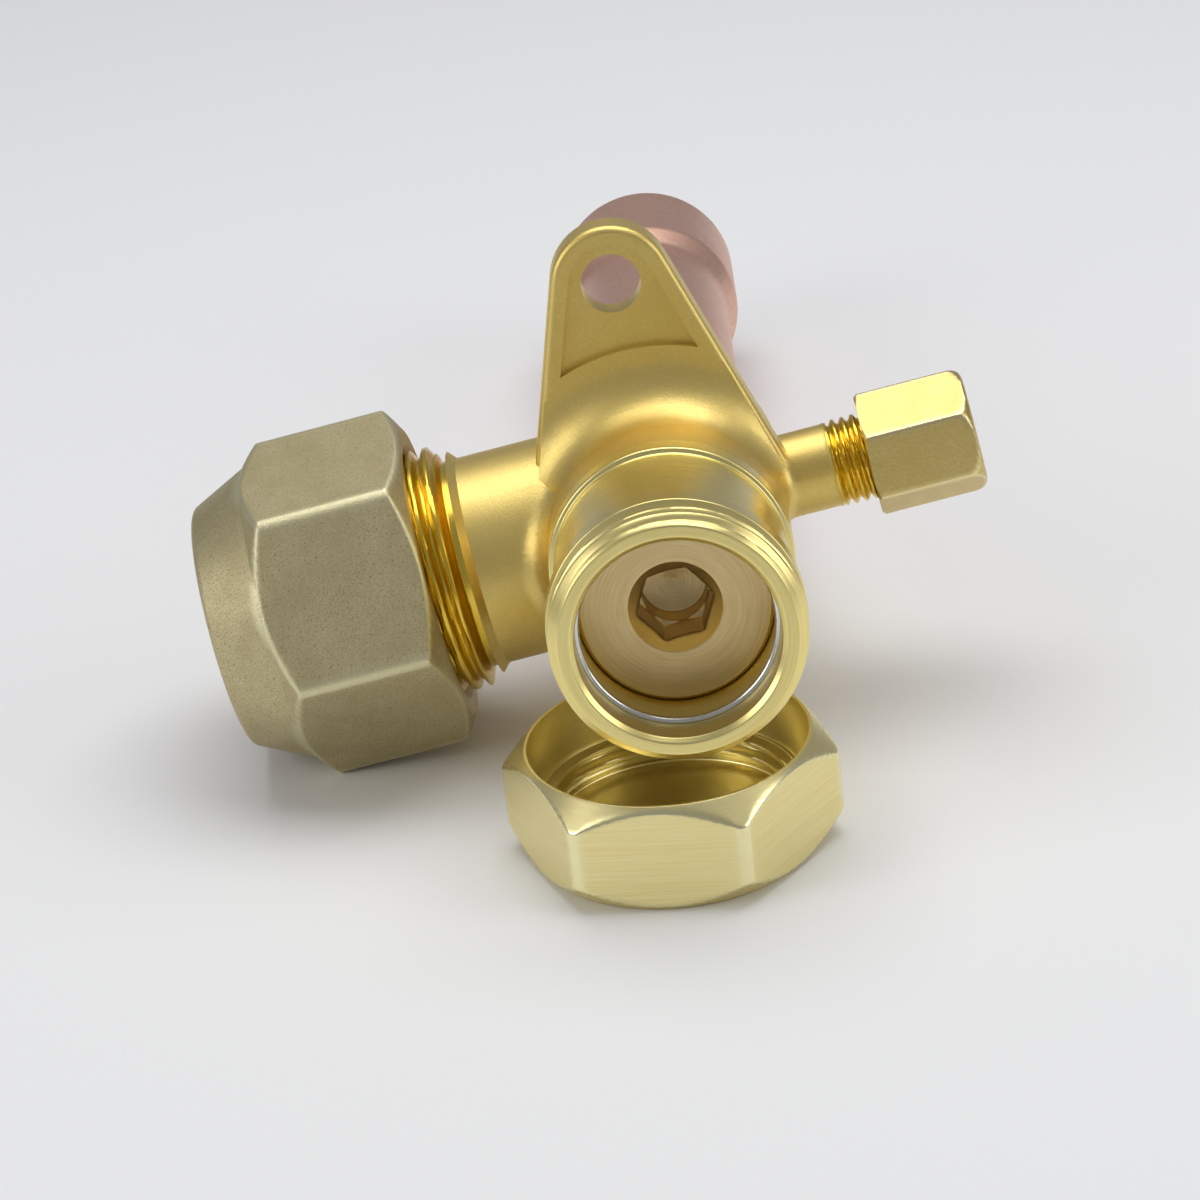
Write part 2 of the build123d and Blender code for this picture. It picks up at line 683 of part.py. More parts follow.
with BuildPart() as core_pin:
    with BuildSketch(charge_cross.offset(core_pin_start)):
        Circle(core_pin_d / 2)
    extrude(amount=core_pin_end - core_pin_start)
    with BuildSketch(charge_cross.offset(core_collar_start)):
        Circle(core_collar_d / 2)
    extrude(amount=core_collar_length)

core_pin.part.label = "core_pin"
export_step(core_pin.part, "parts/core_pin.step")

with BuildPart() as core_cup:
    with BuildSketch(charge_cross.offset(core_cup_start)):
        Circle(core_cup_d / 2)
        Circle(core_pin_d / 2 + seat_gap, mode=Mode.SUBTRACT)
    extrude(amount=core_cup_length)

core_cup.part.label = "core_cup"
export_step(core_cup.part, "parts/core_cup.step")

with BuildPart() as core_cup_seal:
    with BuildSketch(charge_cross.offset(core_seal_start)):
        Circle(core_cup_d / 2 - seat_gap)
        Circle(core_pin_d / 2 + 2 * seat_gap, mode=Mode.SUBTRACT)
    extrude(amount=core_seal_length)

core_cup_seal.part.label = "core_cup_seal"
export_step(core_cup_seal.part, "parts/core_cup_seal.step")

spring_start = core_floor_end + core_wire_d / 2 + seat_gap
spring_height = core_collar_start - seat_gap - core_wire_d / 2 - spring_start
spring_r = (core_spring_room_d + core_pin_d) / 4

with BuildPart() as core_spring:
    with BuildLine() as coil:
        Helix(spring_height / core_spring_turns, spring_height, spring_r,
              center=charge_centre + charge_way * spring_start, direction=charge_way)
    with BuildSketch(Plane(origin=coil.line @ 0, z_dir=coil.line % 0)):
        Circle(core_wire_d / 2)
    sweep(path=coil.line, is_frenet=True)

core_spring.part.label = "core_spring"
export_step(core_spring.part, "parts/core_spring.step")

# ================================================================ stem cap, open side up

cap_corner = cap_flats / 2 / cos(pi / 6)
cap_slope = tan(radians(cap_chamfer_angle))
cap_thread_root = neck_thread_d / 2 + running
cap_thread_crest = cap_thread_root - thread_depth * neck_pitch
cap_ledge = cap_height - cap_cone_depth

with BuildPart() as stem_cap:
    with BuildSketch() as cap_hexagon:
        RegularPolygon(cap_flats / 2, 6, major_radius=False, rotation=cap_turn)
        fillet(cap_hexagon.vertices(), cap_corner_r)
    extrude(amount=cap_height)
    # both ends turned to a chamfer
    with BuildSketch(Plane.XZ):
        with BuildLine():
            Polyline((0, 0), (cap_face_d / 2, 0), (cap_corner, (cap_corner - cap_face_d / 2) * cap_slope),
                     (cap_corner, cap_height - (cap_corner - cap_top_d / 2) * cap_slope),
                     (cap_top_d / 2, cap_height), (0, cap_height), close=True)
        make_face()
    revolve(axis=Axis.Z, mode=Mode.INTERSECT)
    # conical mouth over the thread, which runs out at the floor
    with BuildSketch(Plane.XZ):
        with BuildLine():
            cap_ridges = thread_ridges(0, cap_threads * neck_pitch, cap_thread_crest, cap_thread_root,
                                       neck_pitch)
            Polyline((0, cap_height + overcut), (cap_mouth_d / 2, cap_height + overcut),
                     (cap_mouth_d / 2, cap_height), (cap_cone_d / 2, cap_ledge),
                     *[(r, cap_ledge - d) for d, r in cap_ridges[:-1]], (cap_thread_root, cap_floor),
                     (0, cap_floor), close=True)
        make_face()
    revolve(axis=Axis.Z, mode=Mode.SUBTRACT)

stem_cap.part.label = "stem_cap"
export_step(stem_cap.part, "parts/stem_cap.step")
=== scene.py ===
import json
from math import cos, pi, radians, sin, tan

import bmesh
import bpy
import numpy as np
from mathutils import Matrix, Vector


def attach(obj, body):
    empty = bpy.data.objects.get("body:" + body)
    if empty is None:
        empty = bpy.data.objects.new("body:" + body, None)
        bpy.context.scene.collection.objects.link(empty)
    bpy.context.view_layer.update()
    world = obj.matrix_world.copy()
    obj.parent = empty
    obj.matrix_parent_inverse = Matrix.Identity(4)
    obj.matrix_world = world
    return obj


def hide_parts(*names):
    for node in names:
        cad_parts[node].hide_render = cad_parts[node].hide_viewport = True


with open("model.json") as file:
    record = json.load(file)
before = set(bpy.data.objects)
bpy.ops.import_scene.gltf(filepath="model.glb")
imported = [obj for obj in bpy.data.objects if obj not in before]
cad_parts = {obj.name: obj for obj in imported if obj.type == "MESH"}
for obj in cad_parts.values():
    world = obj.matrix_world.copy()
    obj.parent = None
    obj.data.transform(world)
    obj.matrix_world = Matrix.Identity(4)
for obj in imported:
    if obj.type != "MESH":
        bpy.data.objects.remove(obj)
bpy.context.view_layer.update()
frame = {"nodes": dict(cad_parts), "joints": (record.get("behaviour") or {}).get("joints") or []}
nodes = frame["nodes"]
joints = {joint["name"]: joint for joint in frame["joints"]}
print("frame loaded:", len(nodes), "nodes")

# axes of the stem, the flare port and the charging port, in millimetres
front = np.array(joints["stem_turn"]["axis"], float)
centre = np.array(joints["stem_turn"]["pos_m"], float) * 1000
flareWay = np.array(joints["nut_turn"]["axis"], float)
chargeWay = np.array(joints["port_cap_turn"]["axis"], float)
chargeCentre = np.array(joints["port_cap_turn"]["pos_m"], float) * 1000
earWay = np.cross(front, chargeWay)
up = np.array([0.0, 0.0, 1.0])
east = np.array([1.0, 0.0, 0.0])
facePlace = 49.0  # the neck's front face, from the ports' axis


# shapes

def roundedPath(corners, closed=False, step=0.8):
    # polygon with every corner (x, r, rounding) turned into an arc, and its straight runs divided;
    # the points stand closer together near an arc
    corners = np.array(corners, float)
    count = len(corners)
    pieces = []
    for index in range(count):
        here, size = corners[index, :2], corners[index, 2]
        if not closed and index in (0, count - 1):
            pieces.append([here])
            continue
        before = corners[index - 1, :2] - here
        after = corners[(index + 1) % count, :2] - here
        room = min(np.hypot(*before), np.hypot(*after))
        before /= np.hypot(*before)
        after /= np.hypot(*after)
        half = np.arccos(np.clip(before @ after, -1, 1)) / 2
        if size <= 0 or half > 0.495 * pi:
            pieces.append([here])
            continue
        reach = min(size / tan(half), 0.48 * room)
        radius = reach * tan(half)
        middle = before + after
        middle = here + middle / np.hypot(*middle) * radius / sin(half)
        start = np.arctan2(*(here + before * reach - middle)[::-1])
        turn = np.arctan2(*(here + after * reach - middle)[::-1]) - start
        turn = (turn + pi) % (2 * pi) - pi
        angles = start + turn * np.linspace(0, 1, max(4, int(abs(turn) / 0.2) + 2))
        pieces.append(middle + radius * np.stack([np.cos(angles), np.sin(angles)], 1))
    path = []
    for index, piece in enumerate(pieces):
        path.extend(np.array(piece))
        if index == count - 1 and not closed:
            break
        start, end = piece[-1], pieces[(index + 1) % count][0]
        length = np.hypot(*(end - start))
        near = min(0.25, length / 4)
        inner = np.linspace(near, length - near, max(2, int(length / step) + 1))
        path.extend(start + (end - start) * share for share in inner / max(length, 1e-9))
    return np.array(path)


def hexagonRadius(turn, apothem, corner):
    # apothem over the cosine of the angle from the flat's middle, and near a corner the far root of its arc
    off = np.abs((turn + pi / 6) % (pi / 3) - pi / 6)
    flat = apothem / np.cos(off)
    far = (apothem - corner) / cos(pi / 6)
    side = far * np.sin(pi / 6 - off)
    arc = far * np.cos(pi / 6 - off) + np.sqrt(np.maximum(corner ** 2 - side ** 2, 0))
    return np.where(np.tan(off) > (apothem - corner) * tan(pi / 6) / apothem, arc, flat)


def hexagonTurns(apothem, corner, flatSteps=16, cornerSteps=7):
    # angles round a hexagon: spaced by a sine over each flat, closer at its ends, and evenly round a corner
    edge = np.arctan((apothem - corner) * tan(pi / 6) / apothem)
    flat = edge * np.sin(np.linspace(-pi / 2, pi / 2, flatSteps))
    bend = np.linspace(edge, pi / 3 - edge, cornerSteps + 2)[1:-1]
    sector = np.concatenate([flat, bend])
    return np.concatenate([sector + step * pi / 3 for step in range(6)])


def cornerShare(turn, apothem, corner):
    # 0 on the flats and 1 in the rounded corners, from the angle to the nearest flat's middle
    off = np.abs((turn + pi / 6) % (pi / 3) - pi / 6)
    edge = np.arctan((apothem - corner) * tan(pi / 6) / apothem)
    return np.clip((off - edge + 0.02) / 0.03, 0, 1)


def softMin(one, two, width):
    # smaller of two values, with the edge between them rounded off over this width
    near = np.maximum(width - np.abs(one - two), 0) / width
    return np.minimum(one, two) - near ** 2 * width / 4


def softMax(one, two, width):
    # larger of two values with the same rounding, as the smaller of their opposites
    return -softMin(-one, -two, width)


def threadShare(place, turn, pitch):
    # depth of a right-hand thread, 0 at the crest and 1 at the root: the distance to the nearest crest as a
    # share of the pitch, ramped to 0..1, then six tenths of the ramp plus four tenths of its smooth step
    phase = (place / pitch - turn / (2 * pi)) % 1
    away = np.abs(phase - 0.5)
    share = np.clip((0.5 - away - 0.1) / 0.34, 0, 1)
    return 0.6 * share + 0.4 * share * share * (3 - 2 * share)


def buildMesh(name, points, faces, masks):
    # points in millimetres, divided by 1000, and one stored value per point for each mask
    mesh = bpy.data.meshes.new(name)
    mesh.from_pydata(points / 1000, [], faces)
    for label, values in masks.items():
        attribute = mesh.attributes.new(label, "FLOAT", "POINT")
        attribute.data.foreach_set("value", np.ascontiguousarray(values, np.float32))
    mesh.update()
    piece = bpy.data.objects.new(name, mesh)
    bpy.context.scene.collection.objects.link(piece)
    return piece


def faceOutward(mesh):
    # signed volume as a sum of tetrahedra; a negative one means that the faces look inward
    mesh.calc_loop_triangles()
    triangles = np.zeros(len(mesh.loop_triangles) * 3, np.int32)
    mesh.loop_triangles.foreach_get("vertices", triangles)
    spots = np.zeros(len(mesh.vertices) * 3)
    mesh.vertices.foreach_get("co", spots)
    corner = spots.reshape(-1, 3)[triangles.reshape(-1, 3)]
    volume = np.einsum("ij,ij->i", corner[:, 0], np.cross(corner[:, 1], corner[:, 2])).sum() / 6
    if volume < 0:
        mesh.flip_normals()


def turnedPiece(name, base, axis, side, place, radius, turn, closed, sharp=32.0, **masks):
    # surface base + axis * place + radius * (cos(turn) * side + sin(turn) * across), one row for each
    # step of the profile; an open profile starts and ends on the axis
    across = np.cross(axis, side)
    rows, columns = radius.shape
    place = np.broadcast_to(place, radius.shape)
    ring = np.cos(turn)[:, None] * side + np.sin(turn)[:, None] * across
    points = base + place[..., None] * axis + radius[..., None] * ring
    middlePlace, middleRadius = place.mean(1), radius.mean(1)
    travelled = np.concatenate([[0], np.cumsum(np.hypot(np.diff(middlePlace), np.diff(middleRadius)))])
    masks = {label: np.broadcast_to(values, radius.shape).ravel() for label, values in masks.items()}
    masks["path"] = np.repeat(travelled, columns)
    masks["turn"] = np.tile(turn, rows)
    grid = np.arange(rows * columns).reshape(rows, columns)
    points = points.reshape(-1, 3)
    bands = rows if closed else rows - 1
    upper = grid[:bands]
    lower = np.roll(grid, -1, axis=0)[:bands]
    faces = np.stack([upper, np.roll(upper, -1, 1), np.roll(lower, -1, 1), lower], -1)
    if closed:
        quads = faces.reshape(-1, 4).tolist()
        piece = buildMesh(name, points, quads, masks)
    else:
        # both end rows shrink to one vertex each
        first, last = grid[0, 0], grid[-1, 0]
        quads = faces[1:-1].reshape(-1, 4).tolist()
        startRing, endRing = grid[1], grid[-2]
        startFan = np.stack([np.full(columns, first), np.roll(startRing, -1), startRing], -1).tolist()
        endFan = np.stack([np.full(columns, last), endRing, np.roll(endRing, -1)], -1).tolist()
        piece = buildMesh(name, points, quads + startFan + endFan, masks)
        shell = bmesh.new()
        shell.from_mesh(piece.data)
        bmesh.ops.delete(shell, geom=[v for v in shell.verts if not v.link_faces], context="VERTS")
        shell.to_mesh(piece.data)
        shell.free()
    faceOutward(piece.data)
    piece.data.shade_smooth()
    piece.data.set_sharp_from_angle(angle=radians(sharp))
    return piece


def weighNormals(mesh, limit):
    # each corner's normal is the sum of its vertex's face normals times their areas, over the faces whose
    # angle to the corner's own face has a cosine above the limit
    normals = np.array([face.normal for face in mesh.polygons])
    areas = np.array([face.area for face in mesh.polygons])
    around = [[] for _ in mesh.vertices]
    for face in mesh.polygons:
        for vertex in face.vertices:
            around[vertex].append(face.index)
    split = []
    for face in mesh.polygons:
        for vertex in face.vertices:
            near = np.array(around[vertex])
            near = near[normals[near] @ normals[face.index] > limit]
            total = (normals[near] * areas[near, None]).sum(0)
            length = np.linalg.norm(total)
            split.append(tuple(total / length) if length > 0 else tuple(normals[face.index]))
    mesh.normals_split_custom_set(split)


def smoothCopy(name, node, cuts=()):
    # CAD mesh with its shared corners joined, cut off flat beyond each plane, and shaded by area-weighted
    # normals, with edges sharper than 24 degrees left sharp
    mesh = nodes[node].data.copy()
    mesh.name = name
    piece = bpy.data.objects.new(name, mesh)
    bpy.context.scene.collection.objects.link(piece)
    shell = bmesh.new()
    shell.from_mesh(mesh)
    bmesh.ops.remove_doubles(shell, verts=shell.verts, dist=1e-6)
    bmesh.ops.dissolve_degenerate(shell, edges=shell.edges, dist=1e-7)
    for spot, way in cuts:
        everything = list(shell.verts) + list(shell.edges) + list(shell.faces)
        bmesh.ops.bisect_plane(shell, geom=everything, dist=1e-7, plane_co=Vector(spot / 1000),
                               plane_no=Vector(way), clear_outer=True)
        rim = [edge for edge in shell.edges if edge.is_boundary]
        bmesh.ops.triangle_fill(shell, edges=rim, use_beauty=True, normal=Vector(way))
    bmesh.ops.recalc_face_normals(shell, faces=shell.faces)
    shell.to_mesh(mesh)
    shell.free()
    mesh.shade_smooth()
    weighNormals(mesh, cos(radians(24)))
    return piece


def finishPiece(piece, body, slot, material, *replaced):
    # one material, then what the piece rides on and the CAD nodes it stands for; the slot is not used
    piece.data.materials.clear()
    piece.data.materials.append(material)
    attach(piece, body)
    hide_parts(*replaced)


# materials

def nodeGroup(name, inputs, outputs):
    # empty shader group with these sockets; inputs are (name, kind, default)
    group = bpy.data.node_groups.new(name, "ShaderNodeTree")
    for label, kind, value in inputs:
        socket = group.interface.new_socket(label, in_out="INPUT", socket_type="NodeSocket" + kind)
        socket.default_value = value
    for label, kind in outputs:
        group.interface.new_socket(label, in_out="OUTPUT", socket_type="NodeSocket" + kind)
    return group, group.nodes.new("NodeGroupInput"), group.nodes.new("NodeGroupOutput")


def addNode(tree, kind, values=(), **settings):
    # node with its settings; values go to input sockets, as a constant or as a link from an output
    node = tree.nodes.new("ShaderNode" + kind)
    for label, value in settings.items():
        setattr(node, label, value)
    for label, value in dict(values).items():
        if isinstance(value, bpy.types.NodeSocket):
            tree.links.new(value, node.inputs[label])
        else:
            node.inputs[label].default_value = value
    return node


def grainGroup():
    # blasted or forged skin: fine noise for the grain, slow noise for blotches, a bump from the fine one
    group, entry, result = nodeGroup("grain", [
        ("Size", "Float", 5.0), ("Blotch Size", "Float", 0.3), ("Relief", "Float", 0.3)],
        [("Grain", "Float"), ("Blotch", "Float"), ("Pits", "Float"), ("Normal", "Vector")])
    spot = addNode(group, "TexCoord").outputs["Object"]
    metres = addNode(group, "VectorMath", {0: spot, 1: (1000, 1000, 1000)}, operation="MULTIPLY").outputs[0]
    fine = addNode(group, "TexNoise", {"Vector": metres, "Scale": entry.outputs["Size"], "Detail": 2.0,
                                       "Roughness": 0.6}).outputs["Fac"]
    blotchSize = entry.outputs["Blotch Size"]
    slow = addNode(group, "TexNoise", {"Vector": metres, "Scale": blotchSize, "Detail": 3.0,
                                       "Roughness": 0.55}).outputs["Fac"]
    pits = addNode(group, "MapRange", {"Value": fine, "From Min": 0.40, "From Max": 0.30}).outputs["Result"]
    spread = addNode(group, "MapRange", {"Value": fine, "From Min": 0.3, "From Max": 0.7}).outputs["Result"]
    bump = addNode(group, "Bump", {"Height": fine, "Strength": entry.outputs["Relief"], "Distance": 0.0001})
    for label, source in (("Grain", spread), ("Blotch", slow), ("Pits", pits), ("Normal", bump.outputs[0])):
        group.links.new(source, result.inputs[label])
    return group


def turningGroup():
    # tool marks of a lathe: noise along the profile that hardly changes round the axis, and a bump from it
    group, entry, result = nodeGroup("turning", [("Lines", "Float", 6.0), ("Relief", "Float", 0.3)],
                                     [("Marks", "Float"), ("Normal", "Vector")])
    path = addNode(group, "Attribute", attribute_name="path").outputs["Fac"]
    turn = addNode(group, "Attribute", attribute_name="turn").outputs["Fac"]
    along = addNode(group, "Math", {0: path, 1: entry.outputs["Lines"]}, operation="MULTIPLY").outputs[0]
    spin = [addNode(group, "Math", {0: turn}, operation=kind).outputs[0] for kind in ("SINE", "COSINE")]
    spot = addNode(group, "CombineXYZ", {"X": along, "Y": spin[0], "Z": spin[1]}).outputs[0]
    noise = addNode(group, "TexNoise", {"Vector": spot, "Scale": 1.0, "Detail": 3.0, "Roughness": 0.7})
    marks = addNode(group, "MapRange", {"Value": noise.outputs["Fac"], "From Min": 0.3, "From Max": 0.7})
    bump = addNode(group, "Bump", {"Height": noise.outputs["Fac"], "Strength": entry.outputs["Relief"],
                                   "Distance": 0.00008})
    group.links.new(marks.outputs["Result"], result.inputs["Marks"])
    group.links.new(bump.outputs[0], result.inputs["Normal"])
    return group


grain = grainGroup()
turning = turningGroup()


def blend(tree, share, one, two):
    # colour one where share is 0 and colour two where it is 1
    node = addNode(tree, "Mix", data_type="RGBA", clamp_factor=True)
    for socket, value in ((node.inputs[0], share), (node.inputs[6], one), (node.inputs[7], two)):
        if isinstance(value, bpy.types.NodeSocket):
            tree.links.new(value, socket)
        else:
            socket.default_value = value if isinstance(value, float) else (*value, 1)
    return node.outputs[2]


def ranged(tree, value, low, high, start=0.0, end=1.0):
    # value moved in a straight line from low..high to start..end
    values = {"Value": value, "From Min": low, "From Max": high, "To Min": start, "To Max": end}
    return addNode(tree, "MapRange", values).outputs["Result"]


def metal(name, light, dark, roughness, skin, size=5.0, blotch=0.3, relief=0.3, pits=None, edge=None):
    # brass or copper, from dark to light with the skin's noise; pits are darker, and edges get a painted
    # highlight
    material = bpy.data.materials.new(name)
    material.use_nodes = True
    tree = material.node_tree
    shader = tree.nodes["Principled BSDF"]
    shader.inputs["Metallic"].default_value = 1
    skinNode = addNode(tree, "Group", node_tree=skin)
    if skin == grain:
        skinNode.inputs["Size"].default_value = size
        skinNode.inputs["Blotch Size"].default_value = blotch
        mask = skinNode.outputs["Grain"]
        slow = ranged(tree, skinNode.outputs["Blotch"], 0.35, 0.65, 0.25, 0.75)
        mask = addNode(tree, "Math", {0: mask, 1: slow}, operation="MULTIPLY_ADD")
        mask.inputs[2].default_value = 0.2
        mask = mask.outputs[0]
    else:
        skinNode.inputs["Lines"].default_value = size
        mask = skinNode.outputs["Marks"]
    skinNode.inputs["Relief"].default_value = relief
    colour = blend(tree, mask, dark, light)
    if pits:
        colour = blend(tree, skinNode.outputs["Pits"], colour, pits)
    rough = ranged(tree, mask, 0, 1, roughness + 0.04, roughness - 0.04)
    # painted highlight: the edge colour is mixed in along rounded edges and corners, and the roughness
    # drops there
    if edge:
        edgeHighlight = addNode(tree, "Attribute", attribute_name="edge").outputs["Fac"]
        colour = blend(tree, edgeHighlight, colour, edge)
        edgeRoughness = {"Value": edgeHighlight, "To Min": rough, "To Max": roughness - 0.1}
        rough = addNode(tree, "MapRange", edgeRoughness).outputs[0]
    tree.links.new(colour, shader.inputs["Base Color"])
    tree.links.new(rough, shader.inputs["Roughness"])
    tree.links.new(skinNode.outputs["Normal"], shader.inputs["Normal"])
    return material


forgedBrass = metal("forged_brass", (0.84, 0.66, 0.24), (0.72, 0.53, 0.15), 0.42, grain, 4.0, 0.15, 0.25)
neckBrass = metal("neck_brass", (0.90, 0.78, 0.34), (0.82, 0.67, 0.24), 0.30, turning, 5.0, relief=0.12)
threadBrass = metal("thread_brass", (0.84, 0.62, 0.10), (0.74, 0.50, 0.06), 0.24, turning, 5.0, relief=0.1)
stemBrass = metal("stem_brass", (0.80, 0.63, 0.33), (0.70, 0.52, 0.24), 0.38, turning, 4.0, relief=0.08)
# the edge colours of nut_brass, port_cap_brass and cap_brass are painted highlights on rounded edges and
# corners
nutBrass = metal("nut_brass", (0.66, 0.59, 0.36), (0.44, 0.36, 0.19), 0.50, grain, 5.0, 0.2, 0.7,
                 pits=(0.30, 0.22, 0.13), edge=(0.72, 0.67, 0.42))
portCapBrass = metal("port_cap_brass", (0.68, 0.54, 0.21), (0.56, 0.42, 0.14), 0.36, grain, 3.5, 0.3, 0.3,
                     edge=(0.86, 0.74, 0.40))
capBrass = metal("cap_brass", (0.90, 0.80, 0.42), (0.82, 0.69, 0.30), 0.32, turning, 5.0, relief=0.08,
                 edge=(0.92, 0.86, 0.52))
copper = metal("copper", (0.86, 0.58, 0.46), (0.74, 0.42, 0.31), 0.42, grain, 1.5, 0.1, 0.2)
silverBraze = metal("silver_braze", (0.80, 0.70, 0.48), (0.70, 0.55, 0.32), 0.36, grain, 2.0, 0.4, 0.3)
springSteel = metal("spring_steel", (0.78, 0.78, 0.76), (0.62, 0.62, 0.61), 0.2, grain, 3.0, 0.4, 0.05)


def plainMaterial(name, colour, roughness):
    # rubber or plastic: the colour, a fifth darker where the grain is high
    material = bpy.data.materials.new(name)
    material.use_nodes = True
    tree = material.node_tree
    skinNode = addNode(tree, "Group", {"Size": 4.0, "Relief": 0.2}, node_tree=grain)
    shader = tree.nodes["Principled BSDF"]
    tree.links.new(blend(tree, skinNode.outputs["Grain"], colour, [value * 0.8 for value in colour]),
                   shader.inputs["Base Color"])
    shader.inputs["Roughness"].default_value = roughness
    tree.links.new(skinNode.outputs["Normal"], shader.inputs["Normal"])
    return material


blackRubber = plainMaterial("black_rubber", (0.03, 0.03, 0.03), 0.6)
whitePtfe = plainMaterial("white_ptfe", (0.85, 0.85, 0.82), 0.5)

print("materials ready")

# forged body

# where the turned ends take over from the forging, along each port's axis
bodyCuts = {"neck": -30.5, "flare": 25.0, "charge": 21.7}
body = smoothCopy("body_forging", "valve_body", [
    (centre + front * (facePlace + bodyCuts["neck"]), front),
    (centre + flareWay * bodyCuts["flare"], flareWay),
    (chargeCentre + chargeWay * bodyCuts["charge"], chargeWay),
])
finishPiece(body, "valve", "forged_brass", forgedBrass, "valve_body")

# thread's outer radius, pitch and depth in millimetres, and where it ends behind the neck's face
neck = {"major": 15.35, "pitch": 2.0, "depth": 0.85, "threadEnd": -4.9, "outsideFrom": 13.9,
        "softness": 0.12, "steps": 256}
neckProfile = roundedPath([
    (bodyCuts["neck"], 15.1, 0), (-27.6, 15.1, 0.35), (-27.4, 14.4, 0.3), (-10.5, 14.4, 0.3),
    (-9.3, 15.5, 0.3), (-6.0, 15.5, 0.2), (-5.6, 14.6, 0.15), (-5.0, 14.6, 0.15), (-4.6, 15.35, 0.15),
    (-1.4, 15.35, 0.3), (0, 14.1, 0.3), (0, 12.75, 0.3), (-0.55, 12.15, 0.2), (-5.2, 12.15, 0.05),
    (-5.2, 12.65, 0.05), (-6.4, 12.65, 0.05), (-6.4, 11.9, 0.1), (-24.7, 11.9, 0), (-25.64, 10.96, 0),
    (bodyCuts["neck"], 10.96, 0)], closed=True, step=0.14)
turns = np.linspace(0, 2 * pi, neck["steps"], endpoint=False)
place = neckProfile[:, 0:1]
threadDepth = threadShare(place, turns[None], neck["pitch"]) * neck["depth"]
outside = (neckProfile[:, 1:2] > neck["outsideFrom"]) & (place > neck["threadEnd"]) & (place < -0.01)
threadRadius = softMin(neckProfile[:, 1:2] + 0 * threadDepth, neck["major"] - threadDepth, neck["softness"])
threadRadius = np.where(outside, threadRadius, neckProfile[:, 1:2])
neckPiece = turnedPiece("neck", centre + front * facePlace, front, chargeWay, place, threadRadius, turns,
                        True)
finishPiece(neckPiece, "valve", "forged_brass", neckBrass, "valve_body")

# 12 threads to the inch
flareThread = {"major": 15.65, "pitch": 25.4 / 12, "depth": 0.54, "root": 13.35, "end": 45.5,
               "softness": 0.12}
flareProfile = roundedPath([
    (bodyCuts["flare"], 13.3, 0), (26.0, 13.3, 0.3), (26.8, 15.65, 0.25), (43.4, 15.65, 0.3),
    (45.2, 13.3, 0.4), (45.7, 13.3, 0.3), (48.3, 10.2, 0.2), (48.3, 9.3, 0.1),
    (bodyCuts["flare"], 9.3, 0)], closed=True, step=0.15)
place = flareProfile[:, 0:1]
threadDepth = threadShare(place, turns[None], flareThread["pitch"])
threadDepth = threadDepth * flareThread["depth"] * flareThread["pitch"]
outside = (flareProfile[:, 1:2] > flareThread["root"]) & (place < flareThread["end"])
threadRadius = softMin(flareProfile[:, 1:2] + 0 * threadDepth, flareThread["major"] - threadDepth,
                       flareThread["softness"])
threadRadius = np.where(outside, threadRadius, flareProfile[:, 1:2])
flarePiece = turnedPiece("flare_thread", centre, flareWay, earWay, place, threadRadius, turns, True)
finishPiece(flarePiece, "valve", "forged_brass", threadBrass, "valve_body")

# 20 threads to the inch
chargeThread = {"major": 5.55, "pitch": 25.4 / 20, "depth": 0.54, "root": 4.95, "start": 21.9,
                "softness": 0.08, "steps": 128}
chargeProfile = roundedPath([
    (bodyCuts["charge"], 5.3, 0), (22.0, 5.3, 0.1), (22.3, 5.55, 0.1), (35.2, 5.55, 0.15), (35.9, 4.9, 0.1),
    (37.4, 3.4, 0.1), (37.4, 2.7, 0.1), (29.0, 2.7, 0), (28.6, 2.2, 0),
    (bodyCuts["charge"], 2.2, 0)], closed=True, step=0.1)
place = chargeProfile[:, 0:1]
turnsSmall = np.linspace(0, 2 * pi, chargeThread["steps"], endpoint=False)
threadDepth = threadShare(place, turnsSmall[None], chargeThread["pitch"])
threadDepth = threadDepth * chargeThread["depth"] * chargeThread["pitch"]
outside = (chargeProfile[:, 1:2] > chargeThread["root"]) & (place > chargeThread["start"])
threadRadius = softMin(chargeProfile[:, 1:2] + 0 * threadDepth, chargeThread["major"] - threadDepth,
                       chargeThread["softness"])
threadRadius = np.where(outside, threadRadius, chargeProfile[:, 1:2])
chargePiece = turnedPiece("charge_thread", chargeCentre, chargeWay, earWay, place, threadRadius, turnsSmall,
                          True)
finishPiece(chargePiece, "valve", "forged_brass", threadBrass, "valve_body")

print("body, neck and threads built")

# stem

# a flat's middle stands at this turn from the charging port's direction; lengths are in millimetres
stemSocket = {"apothem": 4.1, "corner": 0.2, "turn": radians(0.8) + pi / 6, "face": -12.2, "mouth": 5.7}
turns = stemSocket["turn"] + hexagonTurns(stemSocket["apothem"], stemSocket["corner"], 14, 4)
stemProfile = roundedPath([
    (-22.9, 0, 0), (-22.2, 4.0, 0.1), (-18.9, 4.0, 0), (-18.7, 4.1, 0), (-18.6, 4.9, 0.02),
    (-13.9, 4.9, 0.05), (-12.2, 5.7, 0.12), (-12.2, 11.34, 0.15), (-12.7, 11.84, 0.15),
    (-21.2, 11.84, 0.1), (-21.2, 10.9, 0.1), (-38.2, 10.9, 0.1), (-38.7, 10.4, 0.1), (-38.7, 5.5, 0.1),
    (-50.9, 5.5, 0.3), (-53.9, 9.5, 0.2), (-56.5, 9.5, 0.2), (-59.2, 6.8, 0.2), (-59.2, 0, 0)], step=0.3)
place = stemProfile[:, 0:1]
radius = stemProfile[:, 1:2] + 0 * turns[None]
socket = (place > -18.95) & (stemProfile[:, 1:2] < 5.71) & (place < -12.19)
cone = stemSocket["mouth"] - (stemSocket["face"] - place)
hexagon = hexagonRadius(turns - stemSocket["turn"], stemSocket["apothem"], stemSocket["corner"])
